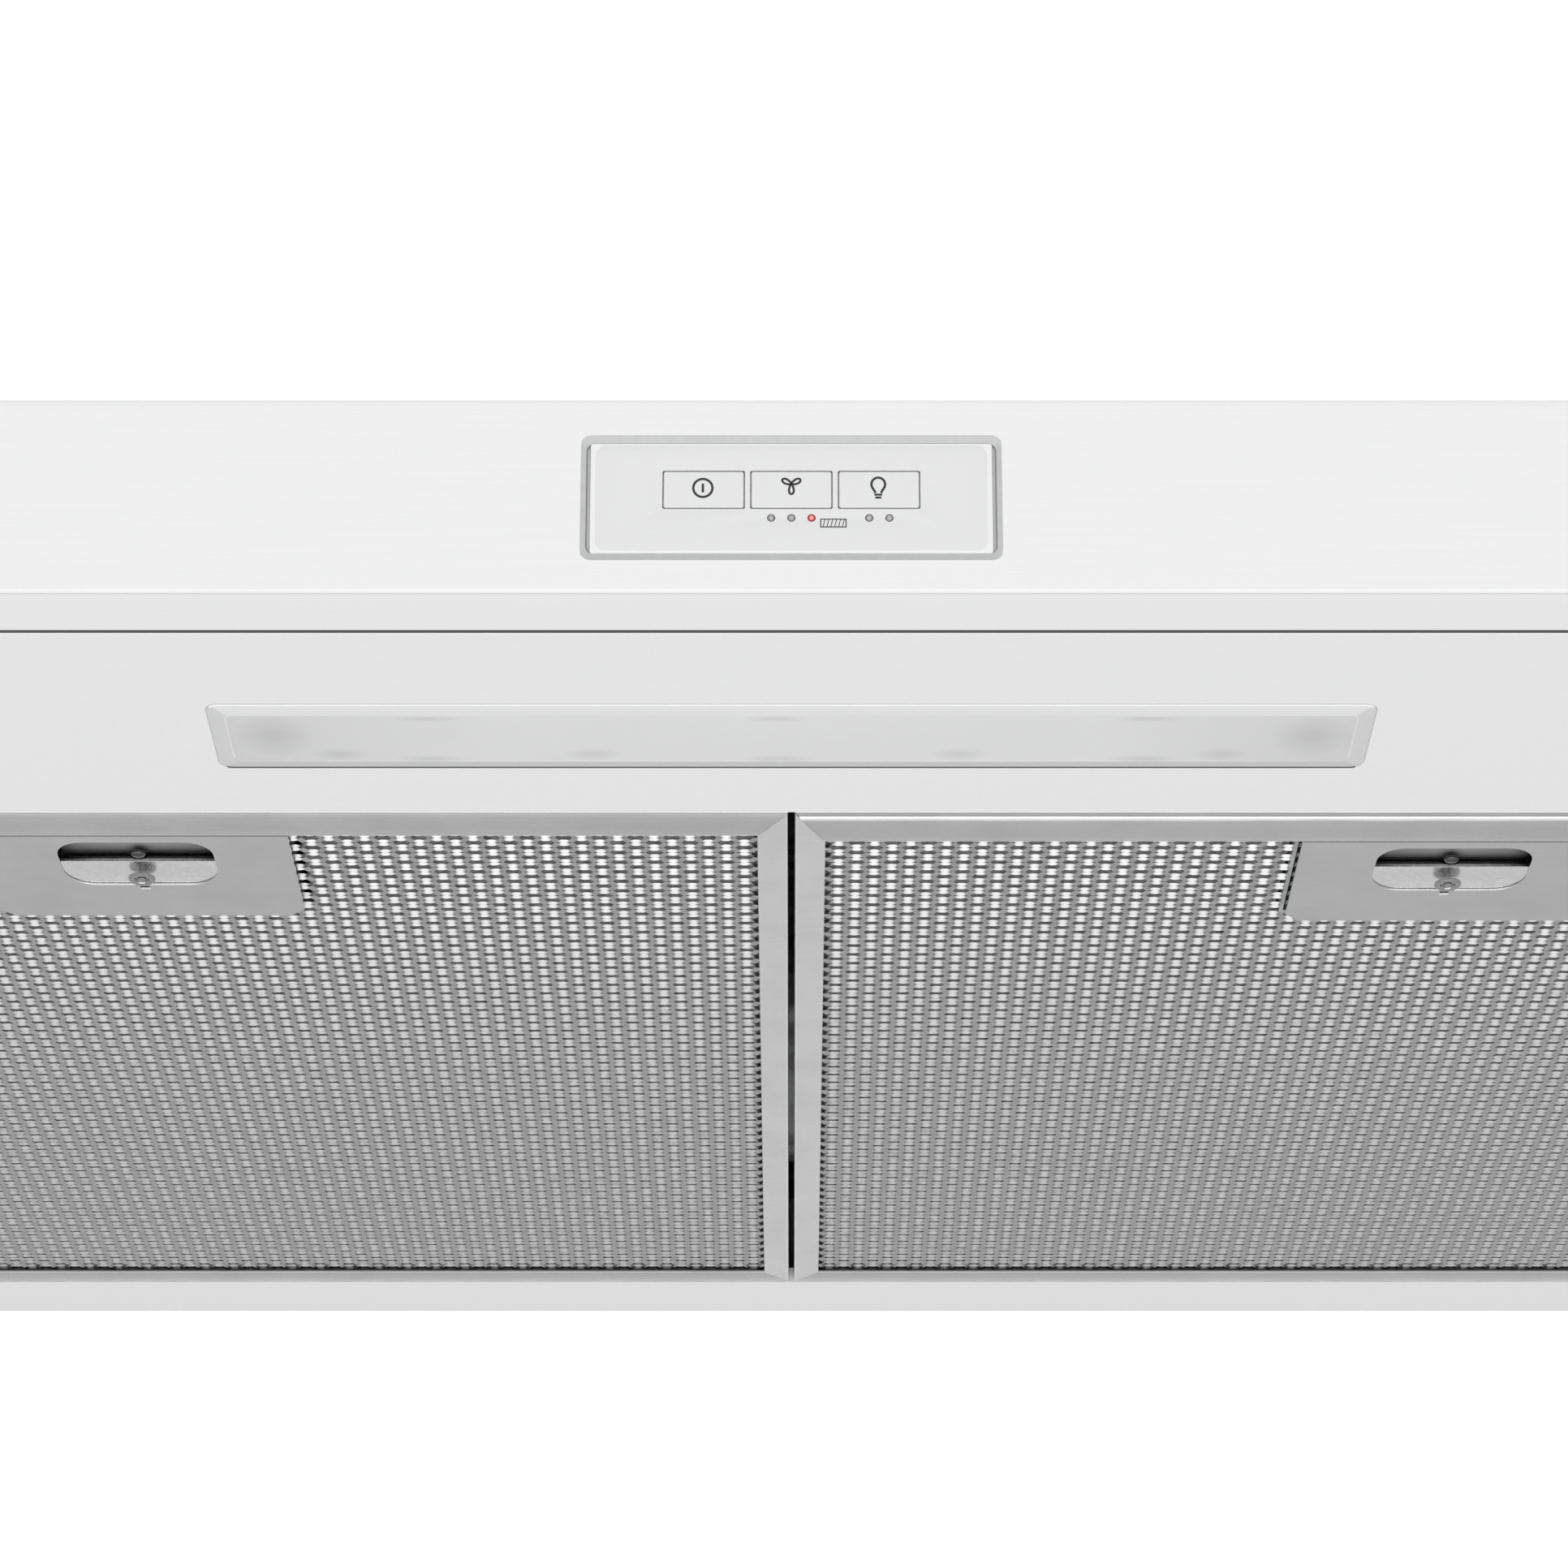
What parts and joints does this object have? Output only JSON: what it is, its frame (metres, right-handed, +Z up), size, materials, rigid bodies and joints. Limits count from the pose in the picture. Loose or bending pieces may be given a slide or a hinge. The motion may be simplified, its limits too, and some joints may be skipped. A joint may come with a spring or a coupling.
{
  "type": "under cabinet range hood",
  "caption": "Slant-top sheet steel range hood with a push-button control fascia, light strip, latched mesh grease filters, a centrifugal blower and a damped duct collar.",
  "frame": {"origin": "centre of the flat top face, where the hood meets the cabinet's underside", "axes": "+X to the right seen from the front, +Y to the wall, +Z up"},
  "size_m": [0.759, 0.5, 0.1909],
  "materials": {
    "paint": "white baked enamel, satin, faint horizontal brush",
    "galvanised": "galvanised sheet, fine spangle",
    "aluminium": "bare rolled aluminium, satin",
    "steel": "bright nickel plate",
    "frosted_lens": "frosted translucent acrylic",
    "white_board": "white solder mask",
    "grey_plastic": "fine moulded texture",
    "button_plastic": "fine moulded texture",
    "dark_plastic": "moulded, matt",
    "green_board": "green solder mask",
    "grey_lamp": "clear grey light pipe",
    "red_lamp": "clear red light pipe",
    "cast_alloy": "die-cast, matt"
  },
  "bodies": {
    "canopy": {"top_panel": "paint", "left_side_panel": "paint", "right_side_panel": "paint", "back_panel": "paint", "rear_filter_rail": "paint", "underside_panel": "paint", "front_fascia": "paint", "rear_knockout": "galvanised", "light_tray": "galvanised", "blower_scroll": "galvanised", "blower_left_side": "galvanised", "blower_right_side": "galvanised", "motor_bracket": "galvanised", "duct_collar": "galvanised", "wiring_box": "galvanised", "wiring_box_cover": "galvanised", "damper_pin": "steel", "light_lens": "frosted_lens", "led_board": "white_board", "control_overlay": "grey_plastic", "led_driver": "grey_plastic", "control_housing": "dark_plastic", "power_switch": "dark_plastic", "fan_switch": "dark_plastic", "light_switch": "dark_plastic", "terminal_block": "dark_plastic", "cable_bushing": "dark_plastic", "control_harness": "dark_plastic", "control_board": "green_board", "speed_led_1": "grey_lamp", "speed_led_2": "grey_lamp", "light_led_1": "grey_lamp", "light_led_2": "grey_lamp", "filter_led": "red_lamp", "blower_motor": "cast_alloy", "run_capacitor": "cast_alloy"},
    "left_filter": {"left_filter_frame": "aluminium", "left_filter_mesh": "aluminium", "left_latch_plate": "aluminium", "left_latch_box": "galvanised", "left_latch_spring": "steel"},
    "left_latch": {"left_latch_slider": "steel", "left_latch_rivet": "steel"},
    "right_filter": {"right_filter_frame": "aluminium", "right_filter_mesh": "aluminium", "right_latch_plate": "aluminium", "right_latch_box": "galvanised", "right_latch_spring": "steel"},
    "right_latch": {"right_latch_slider": "steel", "right_latch_rivet": "steel"},
    "blower_rotor": {"motor_shaft": "steel", "left_blower_wheel": "galvanised", "right_blower_wheel": "galvanised"},
    "damper": {"damper_flap": "galvanised"},
    "power_key": {"power_button": "button_plastic"},
    "fan_key": {"fan_button": "button_plastic"},
    "light_key": {"light_button": "button_plastic"}
  },
  "joints": [
    {"name": "left_filter_tilt", "type": "hinge", "parent": "canopy", "child": "left_filter", "pos_m": [0, 0.1245, -0.14], "axis": [1, 0, 0], "range_deg": [0, 45]},
    {"name": "left_latch_slide", "type": "slide", "parent": "left_filter", "child": "left_latch", "axis": [0, 1, 0], "range_m": [0, 0.006], "stiffness_N_per_m": 500, "deforming": ["left_latch_spring"]},
    {"name": "right_filter_tilt", "type": "hinge", "parent": "canopy", "child": "right_filter", "pos_m": [0, 0.1245, -0.14], "axis": [1, 0, 0], "range_deg": [0, 45]},
    {"name": "right_latch_slide", "type": "slide", "parent": "right_filter", "child": "right_latch", "axis": [0, 1, 0], "range_m": [0, 0.006], "stiffness_N_per_m": 500, "deforming": ["right_latch_spring"]},
    {"name": "blower_spin", "type": "hinge", "parent": "canopy", "child": "blower_rotor", "pos_m": [0, 0.0445, -0.062], "axis": [1, 0, 0], "continuous": true},
    {"name": "damper_swing", "type": "hinge", "parent": "canopy", "child": "damper", "pos_m": [0, 0.1105, 0.0085], "axis": [-1, 0, 0], "range_deg": [0, 75]},
    {"name": "power_press", "type": "slide", "parent": "canopy", "child": "power_key", "axis": [0, 0.9781, 0.2079], "range_m": [0, 0.0012], "stiffness_N_per_m": 400},
    {"name": "fan_press", "type": "slide", "parent": "canopy", "child": "fan_key", "axis": [0, 0.9781, 0.2079], "range_m": [0, 0.0012], "stiffness_N_per_m": 400},
    {"name": "light_press", "type": "slide", "parent": "canopy", "child": "light_key", "axis": [0, 0.9781, 0.2079], "range_m": [0, 0.0012], "stiffness_N_per_m": 400}
  ]
}
